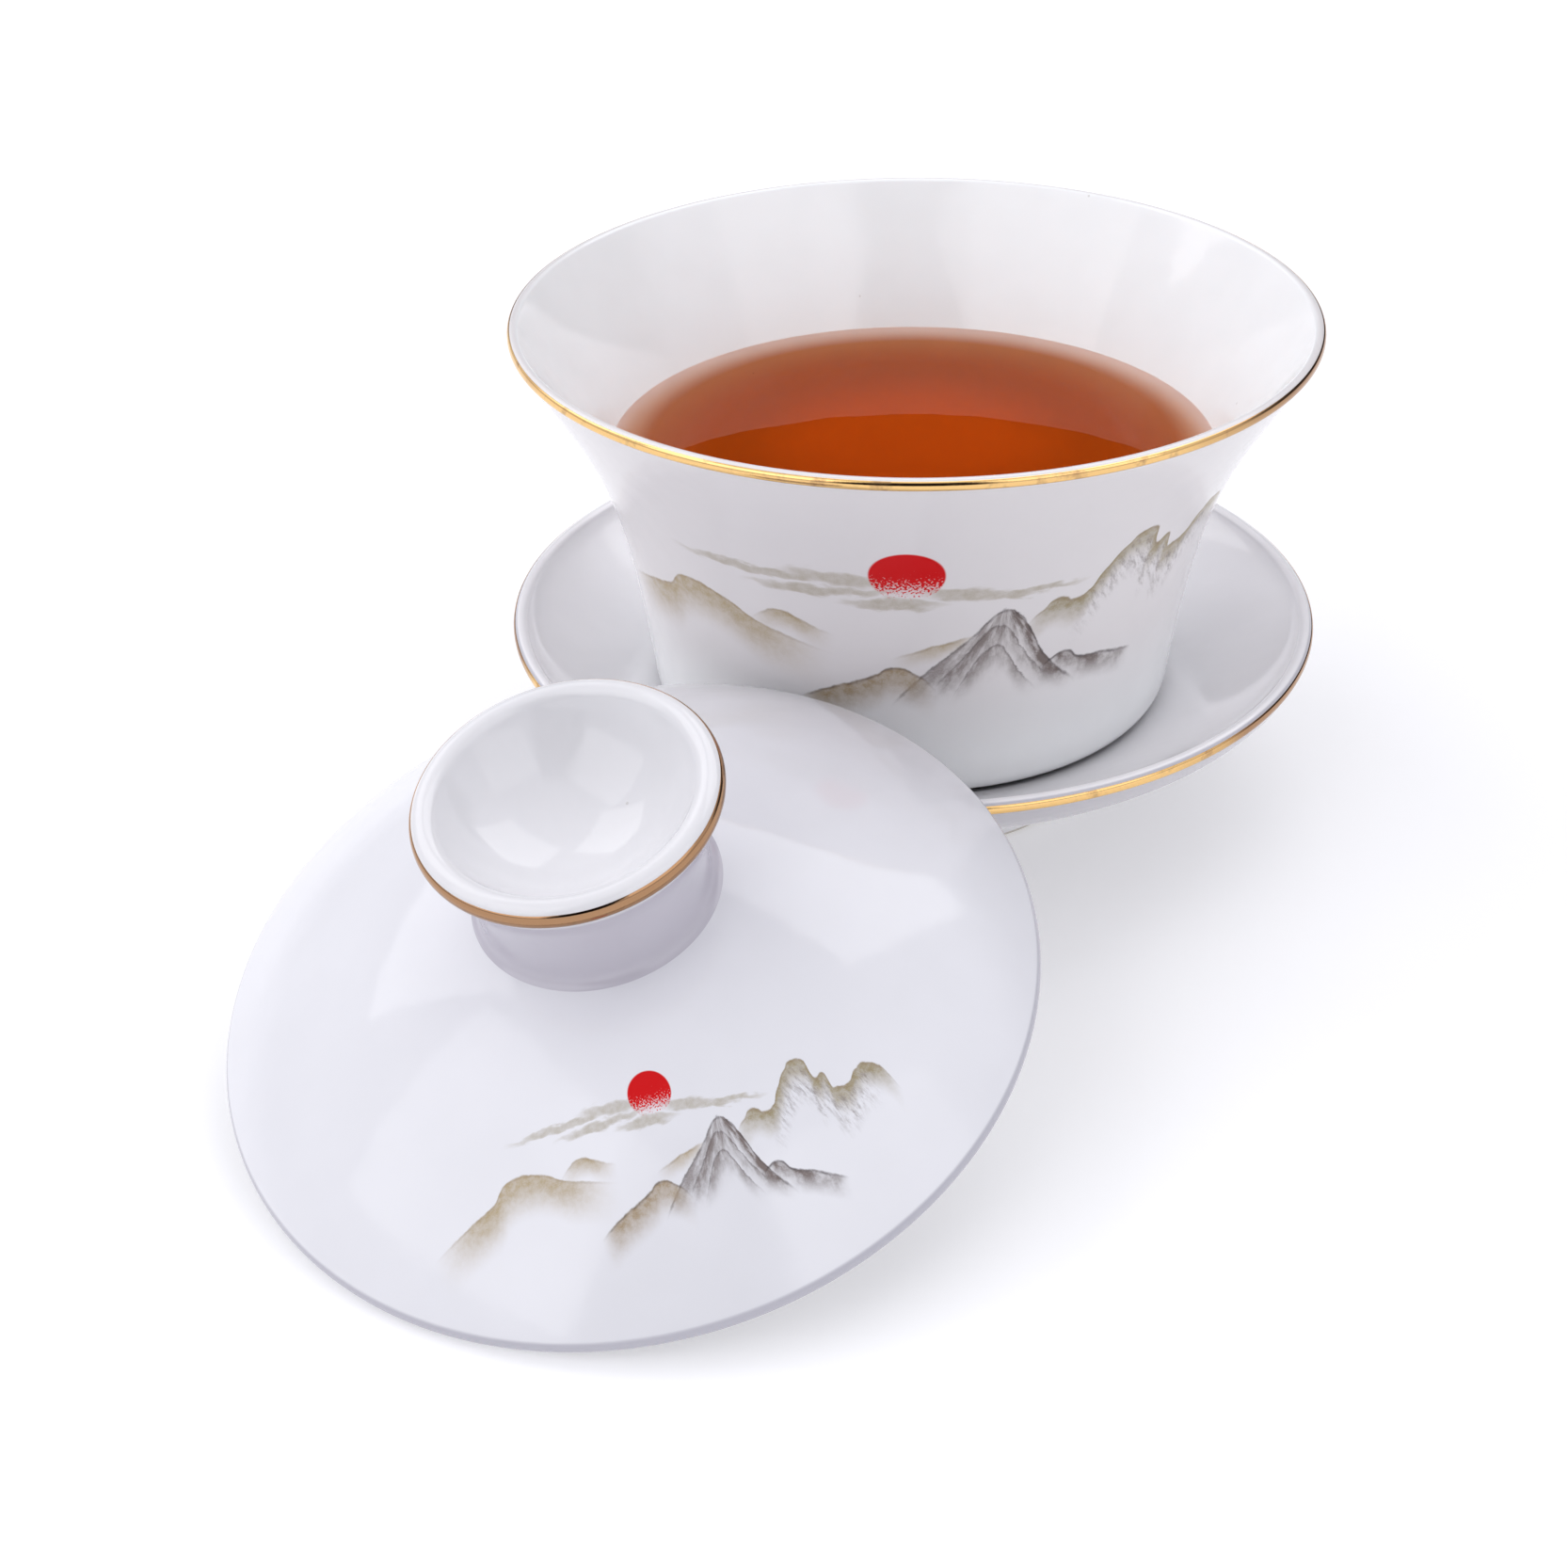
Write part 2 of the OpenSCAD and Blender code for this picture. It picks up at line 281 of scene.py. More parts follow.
def turned(name, outline, matrix=Matrix.Identity(4)):
    """Turns an outline that starts and ends on the axis."""
    bm = bmesh.new()
    rings = []
    for r, z in without_repeats(outline):
        if r < 1e-6:
            rings.append([bm.verts.new((0, 0, z * MM))] * TURN_STEPS)
        else:
            turn = (2 * pi * i / TURN_STEPS for i in range(TURN_STEPS))
            rings.append([bm.verts.new((r * cos(a) * MM, r * sin(a) * MM, z * MM)) for a in turn])
    for low, high in zip(rings, rings[1:]):
        for i in range(TURN_STEPS):
            j = (i + 1) % TURN_STEPS
            bm.faces.new(dict.fromkeys((low[i], low[j], high[j], high[i])))
    return add_mesh(name, bm, matrix)


def hand_wander(a, seed):
    """A slow wander round the turn, from -1 to 1, as a line drawn by hand has."""
    return 0.5 * sin(3 * a + seed) + 0.3 * sin(7 * a + 2.1 * seed) + 0.2 * sin(13 * a + 3.7 * seed)


def gilt_band(name, lip, r, reach, seed, matrix=Matrix.Identity(4)):
    """A band of gold on a rounded lip. It thins out at its two edges, which wander a little."""
    wander, across = 2.5, 14        # degrees of wander, and faces across the band
    sunk = 0.1                      # how far the band's back lies inside the lip
    bm = bmesh.new()
    rings = []
    for i in range(TURN_STEPS):
        turn = 2 * pi * i / TURN_STEPS
        low = reach[0] + wander * hand_wander(turn, seed)
        high = reach[1] + wander * 0.6 * hand_wander(turn, seed + 5)
        section = []
        for t in shares(across):
            swell = GILT_T * (0.25 + 0.75 * min(1, 6 * t, 6 * (1 - t)) ** 0.5)
            section.append(along(lip, out_slope(low + (high - low) * t), r + swell))
        section += arc(lip, r - sunk, high, low, across)
        rings.append([bm.verts.new((p * cos(turn) * MM, p * sin(turn) * MM, z * MM))
                      for p, z in section])
    for i, ring in enumerate(rings):
        after = rings[(i + 1) % TURN_STEPS]
        for k in range(len(ring)):
            m = (k + 1) % len(ring)
            bm.faces.new((ring[k], after[k], after[m], ring[m]))
    return add_mesh(name, bm, matrix)


# ---------------------------------------------------------------- shader maths

class Shade:
    """A number in a shader. Sums on it add Math nodes."""

    def __init__(self, tree, socket):
        self.tree, self.socket = tree, socket

    def math(self, operation, *others):
        node = self.tree.nodes.new("ShaderNodeMath")
        node.operation = operation
        for slot, value in zip(node.inputs, (self, *others)):
            put(self.tree, slot, value)
        return Shade(self.tree, node.outputs[0])

    def __add__(self, b):
        return self.math("ADD", b)

    def __sub__(self, b):
        return self.math("SUBTRACT", b)

    def __mul__(self, b):
        return self.math("MULTIPLY", b)

    def __truediv__(self, b):
        return self.math("DIVIDE", b)

    def __neg__(self):
        return self.math("MULTIPLY", -1)

    def size(self):
        return self.math("ABSOLUTE")

    def more(self, b):
        return self.math("MAXIMUM", b)

    def less(self, b):
        return self.math("MINIMUM", b)

    def smooth(self, low, high, out_low=0.0, out_high=1.0):
        """Rises smoothly from out_low at low to out_high at high."""
        node = self.tree.nodes.new("ShaderNodeMapRange")
        node.interpolation_type = "SMOOTHSTEP"
        for slot, value in zip(node.inputs, (self, low, high, out_low, out_high)):
            put(self.tree, slot, value)
        return Shade(self.tree, node.outputs[0])

    def inside(self, low, high, soft):
        """1 between low and high, and 0 beyond, with soft edges."""
        return self.smooth(low, low + soft) * self.smooth(high - soft, high, 1.0, 0.0)

    def curve(self, points):
        """The height of a line through the given points, over this number."""
        xs, ys = [p[0] for p in points], [p[1] for p in points]
        x0, x1, y0, y1 = min(xs), max(xs), min(ys), max(ys)
        node = self.tree.nodes.new("ShaderNodeFloatCurve")
        line = node.mapping.curves[0]
        while len(line.points) < len(points):
            line.points.new(0.5, 0.5)
        for knot, (x, y) in zip(line.points, points):
            knot.location = ((x - x0) / (x1 - x0), (y - y0) / (y1 - y0))
            knot.handle_type = "AUTO_CLAMPED"
        node.mapping.update()
        put(self.tree, node.inputs["Value"], ((self - x0) / (x1 - x0)).more(0).less(1))
        return Shade(self.tree, node.outputs[0]) * (y1 - y0) + y0


def put(tree, slot, value):
    if isinstance(value, Shade):
        tree.links.new(value.socket, slot)
    elif isinstance(value, bpy.types.NodeSocket):
        tree.links.new(value, slot)
    else:
        slot.default_value = value


def vector(tree, x, y):
    node = tree.nodes.new("ShaderNodeCombineXYZ")
    for slot, value in zip(node.inputs, (x, y)):
        put(tree, slot, value)
    return node.outputs[0]


def from_axis(x, y):
    return (x * x + y * y).math("SQRT")


def noise(tree, place, scale, detail=2.0, roughness=0.5):
    node = tree.nodes.new("ShaderNodeTexNoise")
    put(tree, node.inputs["Vector"], place)
    node.inputs["Scale"].default_value = scale
    node.inputs["Detail"].default_value = detail
    node.inputs["Roughness"].default_value = roughness
    return Shade(tree, node.outputs[0])


def mixed(tree, under, over, share):
    node = tree.nodes.new("ShaderNodeMix")
    node.data_type = "RGBA"
    factor, a, b = node.inputs[0], node.inputs[6], node.inputs[7]
    put(tree, factor, share)
    put(tree, a, under)
    put(tree, b, over)
    return node.outputs[2]


def place_mm(tree, frame_of=Matrix.Identity(4)):
    """The place on the object in millimetres, in the frame of a matrix, as a vector and as three
    numbers."""
    coords = tree.nodes.new("ShaderNodeTexCoord")
    local = tree.nodes.new("ShaderNodeMapping")
    local.vector_type = "TEXTURE"
    tree.links.new(coords.outputs["Object"], local.inputs["Vector"])
    local.inputs["Location"].default_value = frame_of.to_translation()
    local.inputs["Rotation"].default_value = frame_of.to_euler()
    local.inputs["Scale"].default_value = (MM, MM, MM)
    parts = tree.nodes.new("ShaderNodeSeparateXYZ")
    tree.links.new(local.outputs[0], parts.inputs[0])
    return local.outputs[0], *(Shade(tree, parts.outputs[k]) for k in range(3))


# ---------------------------------------------------------------- the painted landscape

# Drawn in millimetres about the middle of the sun, with across to the right and up.
SUN_R = 3.9
SUN_RED = (0.62, 0.008, 0.010, 1)
OLIVE = (0.33, 0.275, 0.165, 1)
SAND = (0.43, 0.34, 0.205, 1)
BROWN = (0.25, 0.175, 0.105, 1)
TAN = (0.36, 0.275, 0.175, 1)
GREY = (0.200, 0.165, 0.155, 1)
INK = (0.060, 0.050, 0.052, 1)

# Ridge lines, from left to right
LEFT_HILL = [(-45, -14), (-38, -11.6), (-31.5, -9.6), (-26.5, -6.8), (-22, -7.7), (-18, -9.9),
             (-8, -12.8)]
SMALL_HILL = [(-19, -10), (-16.6, -8.2), (-14.4, -7.3), (-12, -8.3), (-8, -10)]
MIST_HILL = [(-2, -13), (1.5, -11.5), (5, -10.3), (9, -9.2)]
BROWN_HILL = [(-14, -20.5), (-9, -17.8), (-6, -16.6), (-3.5, -15.3), (-1.3, -14.2), (0.8, -15),
              (4, -18)]
PEAK = [(-2, -20), (2, -15.2), (5, -12.2), (8, -9), (9.6, -6.9), (10.9, -6), (12.4, -6.9),
        (14.2, -9.6), (15.8, -12.8), (18, -15.8), (22, -19.5)]
FOLD_1 = [(2.5, -18), (7, -12.2), (9, -9.2), (10.3, -8.3), (11.8, -9.4), (13.3, -12),
          (15, -14.6), (18.5, -18)]
FOLD_2 = [(5, -20), (7.5, -14.6), (9.2, -12), (10.4, -11.4), (11.8, -12.9), (13.6, -16),
          (16.5, -19.4)]
FOOTHILL = [(16, -17.2), (17.6, -15), (19.3, -14.4), (21.6, -15.8), (25.5, -16.5), (31, -17.8)]
RANGE = [(13, -9.6), (15.4, -7), (17.2, -5.7), (19.2, -6.3), (22, -3.2), (24.2, 0.3), (26.2, 1.8),
         (27.8, 1.3), (29.2, -1.7), (30.5, -0.8), (32, -3.4), (34, -3.2), (36.4, -0.6),
         (38.4, 0.6), (44, -4)]
BRUSH_FAN = (10.6, -4.6)    # the brush marks on the peak fan out from here

# Streaks of cloud: middle across and up, half length, half thickness, slope
CLOUDS = [(-16, -1.5, 10, 0.45, 0.02), (-7.5, -0.9, 5.5, 0.75, -0.06), (-9.5, -3.1, 8, 0.5, 0.06),
          (-1.5, -4.5, 5.5, 0.6, 0.02), (6.5, -3.0, 4.5, 0.65, -0.09), (13, -3.7, 6.5, 0.4, 0.03)]


def below_ridge(across, up, ridge, wobble):
    return across.curve(ridge) + wobble - up


def wash(across, below, ridge, fade, strength, ends=2.5):
    """A hill in thinned paint: full along its ridge, fading out below it and at its two ends."""
    first, last = ridge[0][0], ridge[-1][0]
    full, thin = below.smooth(-0.12, 0.16), below.smooth(0.2 * fade, 2.2 * fade, 1.0, 0.0)
    return full * thin * across.inside(first, last, ends) * strength


def stroke(across, below, ridge, width, strength, pressure, ends=2.0):
    """A brush line along a ridge, whose pressure comes and goes."""
    first, last = ridge[0][0], ridge[-1][0]
    line = (below - width * 0.4).size().smooth(0.0, width, 1.0, 0.0)
    return line * across.inside(first, last, ends) * pressure * strength


def landscape(tree, across, up, ground):
    """Paints a red sun over misty hills on the ground colour; returns the colour and how much
    paint there is."""
    at = vector(tree, across, up)
    wobble = (noise(tree, at, 0.45, 5, 0.65) - 0.5) * 1.5
    rough_wobble = (noise(tree, at, 0.9, 6, 0.7) - 0.5) * 2.0
    grain = noise(tree, at, 5.0, 3, 0.7)
    mottle = noise(tree, at, 0.8, 3, 0.6).smooth(0.25, 0.75, 0.72, 1.1)
    slow = vector(tree, across * 0.5, up * 0.5)
    pressure = noise(tree, slow, 1.3, 2).smooth(0.3, 0.65, 0.35, 1.0)
    layers = []

    # clouds: long soft streaks
    drift = (noise(tree, vector(tree, across * 0.4, up), 0.7, 4) - 0.5) * 2.6
    cloud = None
    for x, y, length, thick, slope in CLOUDS:
        run = (across - x) / length
        rise = (up + drift - y - (across - x) * slope) / thick
        streak = (run * run + rise * rise * 0.4).smooth(0.1, 1.5, 1.0, 0.0)
        cloud = streak if cloud is None else cloud.more(streak)
    layers.append((OLIVE, cloud * mottle * 0.6))

    # sun: a red disc whose lower edge breaks up into specks
    far = from_axis(across, up)
    speck = (noise(tree, at, 3.4, 1, 0.5) - 0.5) * 9.0
    disc = far.smooth(SUN_R - 0.16, SUN_R + 0.1, 1.0, 0.0)
    layers.append((SUN_RED, disc * (up + speck).smooth(-2.6, -1.0)))
    layers.append((SUN_RED, disc * up.smooth(-3.6, -0.9) * 0.45))

    # the far range, with faint rock drawn under its ridge
    below = below_ridge(across, up, RANGE, wobble * 0.7)
    layers.append((OLIVE, wash(across, below, RANGE, 2.4, 1.0, 4) * mottle))
    layers.append((BROWN, stroke(across, below, RANGE, 0.5, 0.5, pressure, 3)))
    slanted = vector(tree, across * 1.5 + up * 0.9, up * 0.55)
    rock = noise(tree, slanted, 0.75, 6, 0.75).smooth(0.42, 0.70)
    deep = below.smooth(0.6, 2.2) * below.smooth(4.5, 9.0, 1.0, 0.0)
    layers.append((GREY, rock * deep * across.inside(19, 41, 4) * 0.8))

    # hills on the left, and a misty one behind the peak
    hills = ((LEFT_HILL, 3.4, 0.95, 12), (SMALL_HILL, 1.7, 0.9, 5), (MIST_HILL, 1.3, 0.8, 5))
    for hill, fade, strength, ends in hills:
        below = below_ridge(across, up, hill, wobble * 0.5)
        layers.append((SAND, wash(across, below, hill, fade, strength, ends) * mottle))
        layers.append((BROWN, stroke(across, below, hill, 0.4, 0.35, pressure, 0.7 * ends)))

    # the peak: dark down its right side, streaked grey down its left, with two folds of rock inside
    below = below_ridge(across, up, PEAK, rough_wobble * 0.55)
    covered = below.smooth(0.0, 0.3) * up.smooth(-21, -16.5) * across.inside(1, 20, 4)
    layers.append((ground, covered * 0.85))
    fan_across, fan_up = across - BRUSH_FAN[0], up - BRUSH_FAN[1]
    angle = fan_across.math("ARCTAN2", -fan_up)
    fanned = vector(tree, angle * 7.0, from_axis(fan_across, fan_up) * 0.28)
    brush = noise(tree, fanned, 1.0, 4, 0.62).smooth(0.32, 0.64, 0.35, 1.1)
    foot_fade = up.smooth(-21, -15.5)
    dark_side = across.smooth(10.4, 12.2)
    faded_brush = brush * foot_fade
    layers.append((GREY, wash(across, below, PEAK, 5.5, 0.72, 3) * faded_brush * (-dark_side + 1)))
    layers.append((GREY, wash(across, below, PEAK, 2.2, 1.25, 3) * faded_brush * dark_side))
    layers.append((INK, stroke(across, below, PEAK, 0.5, 0.62, pressure)))
    for fold, fade, strength in ((FOLD_1, 2.0, 0.75), (FOLD_2, 1.9, 0.65)):
        below = below_ridge(across, up, fold, rough_wobble * 0.7)
        layers.append((GREY, wash(across, below, fold, fade, strength, 3) * faded_brush))
        layers.append((INK, stroke(across, below, fold, 0.45, 0.42, pressure, 3)))

    # the brown hill and the foothill, either side of the peak
    below = below_ridge(across, up, BROWN_HILL, wobble * 0.5)
    layers.append((TAN, wash(across, below, BROWN_HILL, 2.8, 0.95, 4) * mottle))
    layers.append((INK, stroke(across, below, BROWN_HILL, 0.4, 0.6, pressure, 3)))
    below = below_ridge(across, up, FOOTHILL, wobble * 0.5)
    layers.append((GREY, wash(across, below, FOOTHILL, 1.9, 0.95, 3) * brush))
    layers.append((INK, stroke(across, below, FOOTHILL, 0.4, 0.75, pressure, 2)))

    colour, paint = ground, None
    for pigment, density in layers:
        share = density if pigment is SUN_RED else density * grain.smooth(0.2, 0.6, 0.78, 1.0)
        colour = mixed(tree, colour, pigment, share)
        if pigment is not ground:
            paint = share if paint is None else paint.more(share)
    return colour, paint


# ---------------------------------------------------------------- materials

PORCELAIN = (0.885, 0.875, 0.895, 1)
PORCELAIN_WARM = (0.930, 0.945, 0.950, 1)
# painted shade on the saucer's outside
SAUCER_UNDERSIDE_SHADE = (0.56, 0.545, 0.575, 1)
# painted shade on the bowl's outside, above its belly
BOWL_OUTSIDE_SHADE = (0.765, 0.740, 0.745, 1)
# The lid's and the knob's whites are darker and more violet than the bowl's and the saucer's, as
# painted shade.
LID_PORCELAIN_SHADED = (0.770, 0.770, 0.805, 1)
KNOB_PORCELAIN_SHADED = (0.745, 0.740, 0.760, 1)
# painted shade on the knob's outer side
KNOB_SIDE_SHADE = (0.50, 0.475, 0.54, 1)
EDGE_SHADE = (0.36, 0.35, 0.41, 1)
BISCUIT = (0.66, 0.62, 0.56, 1)
GOLD = (0.88, 0.57, 0.23, 1)
COPPER_WEAR_AND_REFLECTION = (0.24, 0.115, 0.085, 1)
PINHOLE = (0.30, 0.25, 0.20, 1)

# The tea's tint at its middle, round its middle, near its edge and at its edge
TEA_MIDDLE = (0.90, 0.105, 0.0008, 1)
TEA_RED = (0.44, 0.060, 0.0005, 1)
TEA_BROWN = (0.50, 0.125, 0.020, 1)
TEA_BLUSH = (1.0, 0.80, 0.74, 1)
TEA_REFLECTION = (0.05, 0.04, 0.04, 1)
TEA_DEPTH = (0.970, 0.62, 0.02, 1)

FLOOR_WHITE = (0.72, 0.72, 0.735, 1)
STUDIO_WHITE = (0.94, 0.94, 1.0, 1)
STUDIO_DARK = (0.015, 0.012, 0.015, 1)


def darker(colour, share):
    return tuple(c * share for c in colour[:3]) + (1,)


def new_material(name):
    mat = bpy.data.materials.new(name)
    mat.use_nodes = True
    tree = mat.node_tree
    tree.nodes.clear()
    out = tree.nodes.new("ShaderNodeOutputMaterial")
    shader = tree.nodes.new("ShaderNodeBsdfPrincipled")
    tree.links.new(shader.outputs[0], out.inputs["Surface"])
    return mat, tree, shader


def relief(tree, shader, height, depth):
    """Bumps the surface by a height of 0 to 1, which is depth millimetres deep."""
    bump = tree.nodes.new("ShaderNodeBump")
    bump.inputs["Strength"].default_value = 1.0
    bump.inputs["Distance"].default_value = depth * MM
    put(tree, bump.inputs["Height"], height)
    tree.links.new(bump.outputs[0], shader.inputs["Normal"])


def glazed(name, body, picture=None, foot=None, edge_shade_r=None, frame_of=Matrix.Identity(4)):
    """White porcelain under clear glaze. picture(tree, x, y, z, ground) paints on it; foot is the
    height in millimetres below which the ring it stands on is left unglazed; edge_shade_r is the
    radius beyond which the lip's outer edge is painted a greyer violet, as painted shade."""
    mat, tree, shader = new_material(name)
    at, x, y, z = place_mm(tree, frame_of)
    cloudy = noise(tree, at, 0.055, 3, 0.55)
    ground = mixed(tree, body, darker(body, 0.965), cloudy.smooth(0.3, 0.7))
    pinholes = tree.nodes.new("ShaderNodeTexVoronoi")
    put(tree, pinholes.inputs["Vector"], at)
    pinholes.inputs["Scale"].default_value = 0.09
    speck = Shade(tree, pinholes.outputs["Distance"]).smooth(0.012, 0.022, 1.0, 0.0)
    ground = mixed(tree, ground, PINHOLE, speck * 0.3)
    if edge_shade_r is not None:
        # Painted shade: the lip's outer edge is painted a greyer violet.
        out = from_axis(x, y)
        ground = mixed(tree, ground, EDGE_SHADE, out.smooth(edge_shade_r, edge_shade_r + 0.3) * 0.7)
    ripple = noise(tree, at, 0.22, 2, 0.4)
    roughness = noise(tree, at, 0.5, 3, 0.6).smooth(0.3, 0.7, 0.07, 0.11)
    colour, height = ground, ripple
    if picture:
        colour, paint = picture(tree, x, y, z, ground)
        roughness = roughness + paint * 0.10
        height = height + paint * 0.06
        put(tree, shader.inputs["Specular IOR Level"], -paint.less(1) * 0.42 + 0.5)
    if foot is not None:
        tooth = noise(tree, at, 6.0, 4, 0.7)
        bare = (z + (tooth - 0.5) * 0.25).smooth(foot - 0.05, foot + 0.08, 1.0, 0.0)
        clay = mixed(tree, BISCUIT, darker(BISCUIT, 0.8), tooth.smooth(0.35, 0.65))
        colour = mixed(tree, colour, clay, bare)
        roughness = roughness + bare * 0.65
        height = height + tooth * bare * 1.2
    put(tree, shader.inputs["Base Color"], colour)
    put(tree, shader.inputs["Roughness"], roughness)
    shader.inputs["IOR"].default_value = 1.52
    shader.inputs["Subsurface Weight"].default_value = 0.05
    shader.inputs["Subsurface Scale"].default_value = 0.9 * MM
    shader.inputs["Subsurface Radius"].default_value = (1.0, 0.9, 0.8)
    relief(tree, shader, height, 0.045)
    return mat


def bowl_picture(tree, x, y, z, ground):
    """The landscape round the front of the bowl, which faces -Y, and painted shade above its belly.
    """
    mean_r, sun_z = 36, 47.6
    side = bowl_curves()[1]
    mid_wall = [beside(side, t, BOWL_WALL / 2) for t in shares(12)]
    outside = (from_axis(x, y) - z.curve([(h, r) for r, h in mid_wall])).smooth(-0.3, 0.3)
    # Painted shade: the outside of the wall is darker above the belly.
    upper_shade = outside * z.smooth(18, 34)
    ground = mixed(tree, ground, BOWL_OUTSIDE_SHADE, upper_shade)
    across = x.math("ARCTAN2", -y) * mean_r + 0.4
    colour, paint = landscape(tree, across, z - sun_z, ground)
    return mixed(tree, ground, colour, outside), paint * outside


def saucer_shade(tree, x, y, z, ground):
    """Painted shade: the saucer's outside, beyond its foot, is darker than its inside."""
    side = saucer_curves()[1]
    mid_wall = [beside(side, t, SAUCER_BASE_WALL / 2 * (1 - t) + SAUCER_WALL / 2 * t)
                for t in shares(12)]
    radius = from_axis(x, y)
    under = (radius.curve(mid_wall) - z).smooth(-0.3, 0.3) * radius.smooth(24.5, 26)
    return mixed(tree, ground, SAUCER_UNDERSIDE_SHADE, under), under * 0.02


def lid_picture(tree, x, y, z, ground):
    """The same landscape, smaller, on the side of the dome that faces away from the bowl."""
    turn, out, shift, size = radians(37), 25, 1.2, 0.56
    across = (y * cos(turn) - x * sin(turn) - shift) / size
    up = (-(x * cos(turn) + y * sin(turn)) + out) / size
    outside = z.smooth(2, 4)
    colour, paint = landscape(tree, across, up, ground)
    return mixed(tree, ground, colour, outside), paint * outside


def knob_shade(tree, x, y, z, ground):
    """Painted shade: the knob's outer side, below its lip, is darker and more violet than the rest.
    """
    past_cup = from_axis(x, y) - (z - 22).more(0) * 0.42    # the cup widens as it rises
    side = past_cup.smooth(KNOB_BASE_D / 2 - 1.2, KNOB_BASE_D / 2 - 0.8)
    side = side * z.smooth(KNOB_LIP_H - 2.2, KNOB_LIP_H - 1.2, 1.0, 0.0)
    return mixed(tree, ground, KNOB_SIDE_SHADE, side * 0.85), side * 0.02


def gilt():
    """Burnished gold, worn coppery in small spots, and darkened to copper on the right, at the far
    left and on the knob, where the copper is a painted dark reflection."""
    mat, tree, shader = new_material("gilt_burnished")
    at, x, y, _ = place_mm(tree)
    worn = noise(tree, at, 0.35, 4, 0.65).smooth(0.52, 0.72)
    wander = (noise(tree, at, 0.06, 2, 0.5) - 0.5) * 30.0
    # Painted dark reflection: the gold is browned by position in these three places; only the small
    # spots are wear.
    right = (x + wander).smooth(28, 42)
    far_left = (-x + wander).smooth(44, 52)
    on_knob = (-y + wander).smooth(58, 66)
    wear_and_painted_reflection = (worn * 0.5).more(right.more(far_left).more(on_knob) * 0.75)
    strokes = noise(tree, at, 2.6, 3, 0.6)
    put(tree, shader.inputs["Base Color"], mixed(tree, GOLD, COPPER_WEAR_AND_REFLECTION, wear_and_painted_reflection))
    put(tree, shader.inputs["Roughness"], strokes.smooth(0.3, 0.7, 0.07, 0.12) + worn * 0.10)
    shader.inputs["Metallic"].default_value = 1.0
    relief(tree, shader, strokes, 0.004)
    return mat


def tea_material():
    """Clear red-brown tea. Most of its colour is a tint at the surface, by distance from the
    middle, and a little light is lost on the way through. Its index of refraction is below
    water's 1.33, to weaken the reflection."""
    mat, tree, shader = new_material("tea_amber")
    at, x, y, _ = place_mm(tree)
    still = noise(tree, at, 0.05, 2, 0.5)
    radius = from_axis(x, y)
    body = mixed(tree, TEA_MIDDLE, TEA_RED, radius.smooth(8, 24))
    body = mixed(tree, body, TEA_BROWN, radius.smooth(25, TEA_R - 2))
    body = mixed(tree, body, TEA_BLUSH, radius.smooth(TEA_R - 3.8, TEA_R + 0.9))
    put(tree, shader.inputs["Base Color"], body)
    shader.inputs["Transmission Weight"].default_value = 1.0
    shader.inputs["Roughness"].default_value = 0.0
    shader.inputs["IOR"].default_value = 1.14
    shader.inputs["Specular Tint"].default_value = TEA_REFLECTION
    relief(tree, shader, still, 0.05)
    lost = tree.nodes.new("ShaderNodeVolumeAbsorption")
    lost.inputs["Color"].default_value = TEA_DEPTH
    lost.inputs["Density"].default_value = 8
    tree.links.new(lost.outputs[0], tree.nodes["Material Output"].inputs["Volume"])
    return mat


# ---------------------------------------------------------------- the pieces

def lid_place():
    azimuth = radians(LID_AZIMUTH)
    height = LID_LIP_R * sin(radians(LID_LEAN)) + LID_WALL / 2
    spot = Vector((LID_DISTANCE * cos(azimuth), LID_DISTANCE * sin(azimuth), height)) * MM
    return (Matrix.Translation(spot) @ Matrix.Rotation(radians(LID_LEAN_AZIMUTH), 4, "Z")
            @ Matrix.Rotation(radians(LID_LEAN), 4, "Y"))


def finish_piece(obj, material, body, node):
    obj.data.materials.append(material)
    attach(obj, body)
    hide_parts(node)


def build_pieces():
    leaning = lid_place()
    knob_white = glazed("knob_glazed", KNOB_PORCELAIN_SHADED, knob_shade, frame_of=leaning)
    saucer_white = glazed("saucer_glazed", PORCELAIN, saucer_shade, foot=0.55,
                          edge_shade_r=SAUCER_RIM_D / 2 - 0.6)
    bowl_white = glazed("bowl_painted", PORCELAIN_WARM, bowl_picture, foot=BOWL_FOOT_Z + 0.6,
                        edge_shade_r=BOWL_RIM_D / 2 - 0.65)
    lid_white = glazed("lid_painted", LID_PORCELAIN_SHADED, lid_picture, edge_shade_r=LID_D / 2 - 0.45,
                       frame_of=leaning)
    gold, tea = gilt(), tea_material()
    bowl_lip, saucer_lip = bowl_curves()[0], saucer_curves()[0]

    finish_piece(turned("saucer_dish", saucer_outline()),
                 saucer_white, "saucer", "saucer")
    finish_piece(gilt_band("saucer_gilt", saucer_lip, SAUCER_WALL / 2, SAUCER_GILT, 1.0),
                 gold, "saucer", "saucer_gilt_band")
    finish_piece(turned("tea_bowl", bowl_outline()),
                 bowl_white, "bowl", "bowl")
    finish_piece(gilt_band("bowl_gilt", bowl_lip, BOWL_LIP_W / 2, BOWL_GILT, 2.3),
                 gold, "bowl", "bowl_gilt_band")
    finish_piece(turned("tea_poured", tea_outline()), tea, "bowl", "tea")
    finish_piece(turned("lid_dome", lid_outline(), leaning),
                 lid_white, "lid", "lid")
    finish_piece(turned("lid_knob_cup", knob_outline(), leaning),
                 knob_white, "lid", "lid_knob")
    finish_piece(gilt_band("knob_gilt", knob_lip(), KNOB_LIP / 2, KNOB_GILT, 4.1, leaning),
                 gold, "lid", "knob_gilt_band")


# ---------------------------------------------------------------- stage, light and camera

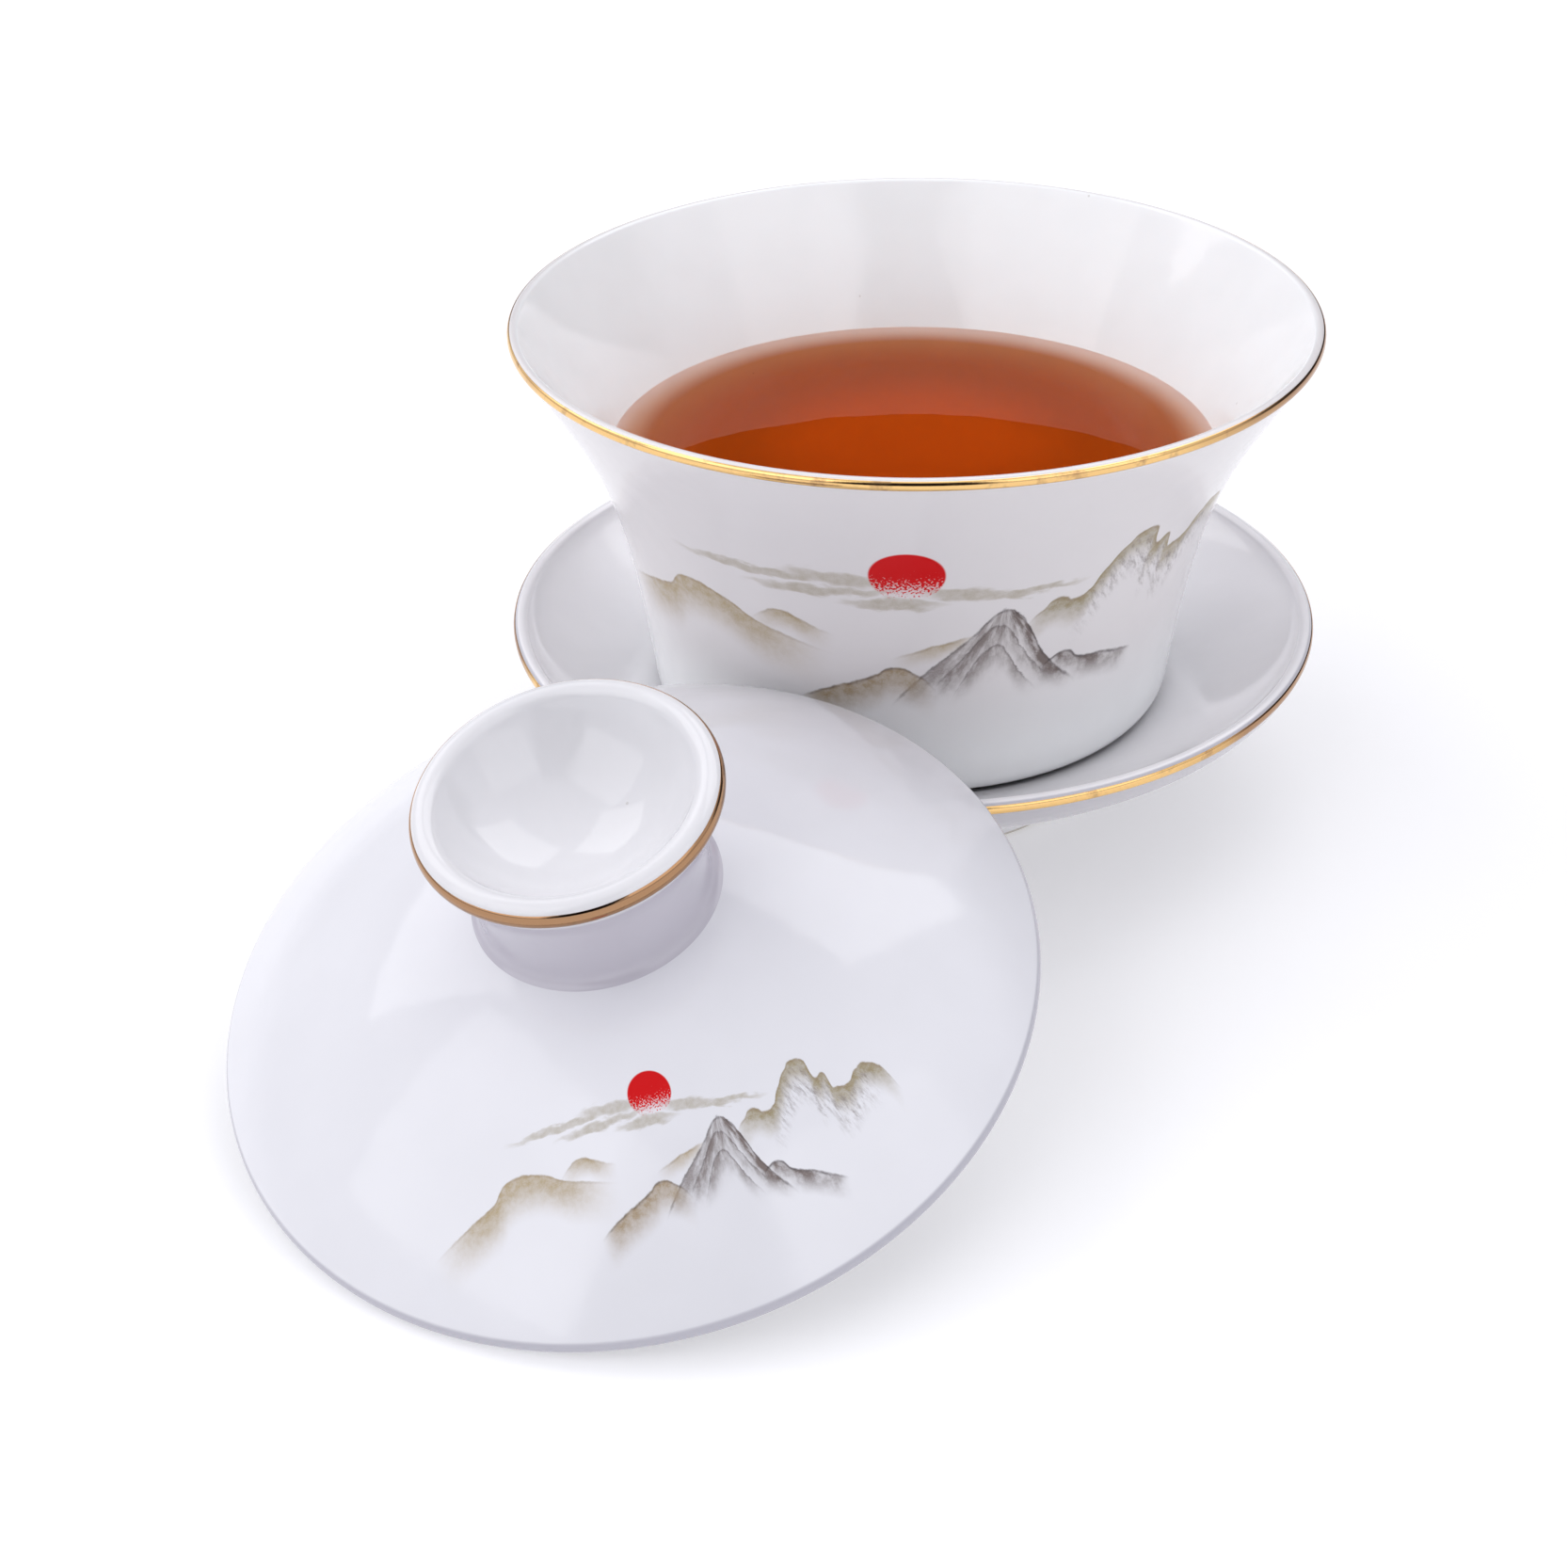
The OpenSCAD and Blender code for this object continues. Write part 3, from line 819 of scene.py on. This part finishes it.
def floor():
    size, grid = 9, 8
    bm = bmesh.new()
    bmesh.ops.create_grid(bm, x_segments=grid, y_segments=grid, size=size)
    obj = add_mesh("floor", bm)
    mat, _, shader = new_material("floor_white")
    shader.inputs["Base Color"].default_value = FLOOR_WHITE
    shader.inputs["Roughness"].default_value = 0.9
    shader.inputs["Specular IOR Level"].default_value = 0.1
    shader.inputs["Emission Color"].default_value = (1, 1, 1, 1)
    shader.inputs["Emission Strength"].default_value = 0.30
    obj.data.materials.append(mat)


BACKDROP_AZIMUTH = radians(65)


def world():
    """A pale studio that the glaze reflects, with a faint dim band just above the horizon all
    round, a dark column on the camera's side and a dark backdrop behind the bowl."""
    scene_world = bpy.data.worlds.new("studio")
    bpy.context.scene.world = scene_world
    scene_world.use_nodes = True
    tree = scene_world.node_tree
    back = tree.nodes["Background"]
    coords = tree.nodes.new("ShaderNodeTexCoord")
    parts = tree.nodes.new("ShaderNodeSeparateXYZ")
    tree.links.new(coords.outputs["Generated"], parts.inputs[0])
    x, y, z = (Shade(tree, parts.outputs[k]) for k in range(3))
    flat = (x * x + y * y + 1e-4).math("SQRT")
    ahead = (-y) / flat     # 1 towards the camera, 0 to the sides
    behind = (x * cos(BACKDROP_AZIMUTH) + y * sin(BACKDROP_AZIMUTH)) / flat
    horizon = z.smooth(0.04, 0.10) * z.smooth(0.16, 0.34, 1.0, 0.0) * 0.25
    column = ahead.smooth(0.90, 0.96) * z.smooth(0.04, 0.10) * z.smooth(0.80, 0.90, 1.0, 0.0)
    backdrop = behind.smooth(0.52, 0.74) * z.smooth(0.05, 0.12) * z.smooth(0.48, 0.64, 1.0, 0.0)
    dark = horizon.more(column).more(backdrop * 0.94)
    put(tree, back.inputs["Color"], mixed(tree, STUDIO_WHITE, STUDIO_DARK, dark))
    back.inputs["Strength"].default_value = 0.96


def softbox(name, spot, aim, width, height, radiance):
    light = bpy.data.lights.new(name, "AREA")
    light.shape = "RECTANGLE"
    light.size, light.size_y = width, height
    light.energy = pi * width * height * radiance
    obj = bpy.data.objects.new(name, light)
    obj.location = spot
    obj.rotation_euler = (Vector(aim) - Vector(spot)).to_track_quat("-Z", "Y").to_euler()
    bpy.context.scene.collection.objects.link(obj)


def lights():
    middle = (0, 0, 0.03)
    softbox("window_left", (-0.85, 0.45, 1.0), middle, 0.8, 0.8, 1.35)
    softbox("window_right", (0.35, 0.65, 1.15), middle, 1.0, 0.8, 1.3)
    softbox("front_left", (-0.80, -0.70, 0.85), middle, 1.3, 1.0, 0.95)
    softbox("front_right", (0.80, -0.75, 0.75), middle, 1.0, 0.9, 0.65)


def camera():
    focal_mm, sensor_mm = 59.27, 36
    spot = Vector((0, -0.301776, 0.181466))
    down, left, roll = radians(31.724), radians(-3.252), radians(-1.109)
    ahead = Vector((sin(left) * cos(down), cos(left) * cos(down), -sin(down)))
    right = Vector((cos(left), -sin(left), 0))
    up = right.cross(ahead)
    turned_right = right * cos(roll) + up * sin(roll)
    turned_up = up * cos(roll) - right * sin(roll)
    data = bpy.data.cameras.new("camera")
    data.lens, data.sensor_width = focal_mm, sensor_mm
    data.clip_start, data.clip_end = 0.01, 20
    obj = bpy.data.objects.new("camera", data)
    basis = Matrix((turned_right, turned_up, -ahead)).transposed()
    obj.matrix_world = Matrix.Translation(spot) @ basis.to_4x4()
    bpy.context.scene.collection.objects.link(obj)
    bpy.context.scene.camera = obj


build_pieces()
floor()
world()
lights()
camera()
bpy.context.scene.view_settings.view_transform = "Standard"
